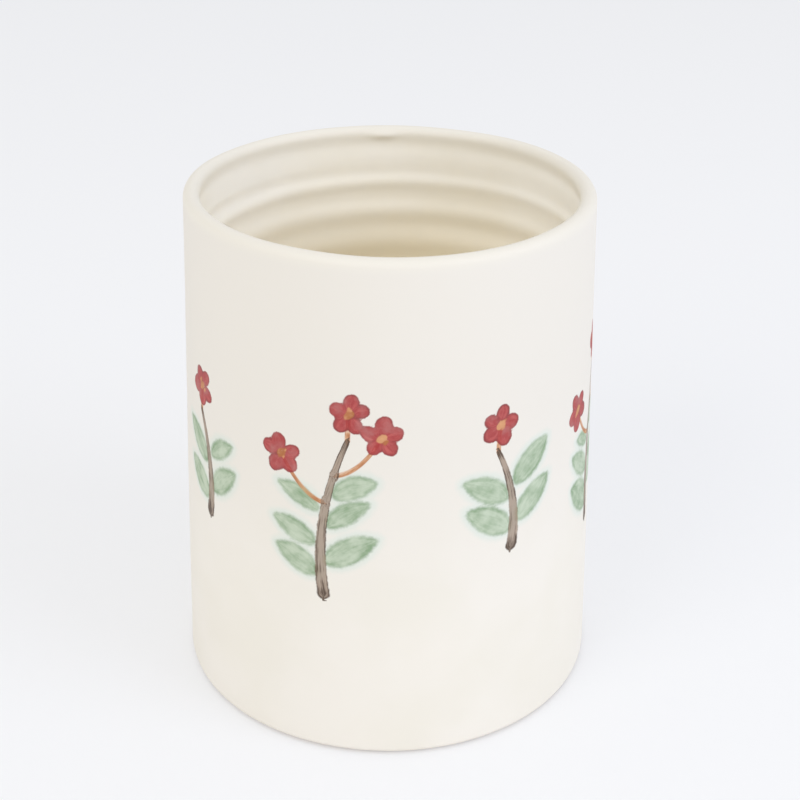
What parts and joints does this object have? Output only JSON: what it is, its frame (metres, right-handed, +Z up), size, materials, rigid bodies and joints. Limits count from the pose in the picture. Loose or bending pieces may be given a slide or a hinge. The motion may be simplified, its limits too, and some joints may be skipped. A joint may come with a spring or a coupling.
{
  "type": "utensil crock",
  "caption": "Open round stoneware crock with a rolled lip, finger rings inside and a cream glaze, for standing kitchen utensils upright.",
  "frame": {"origin": "on the table at the middle of the foot", "axes": "+Z up along the turning axis; the pot is round, so +X and +Y may point anywhere level"},
  "size_m": [0.1384, 0.1384, 0.165],
  "materials": {
    "bare_clay": "unglazed fired stoneware, warm buff, fine grit",
    "cream_glaze": "satin cream glaze over a painted design",
    "liner_glaze": "satin cream liner glaze"
  },
  "bodies": {
    "root": {"clay_body": "bare_clay", "outer_glaze": "cream_glaze", "liner_glaze": "liner_glaze"}
  },
  "joints": []
}
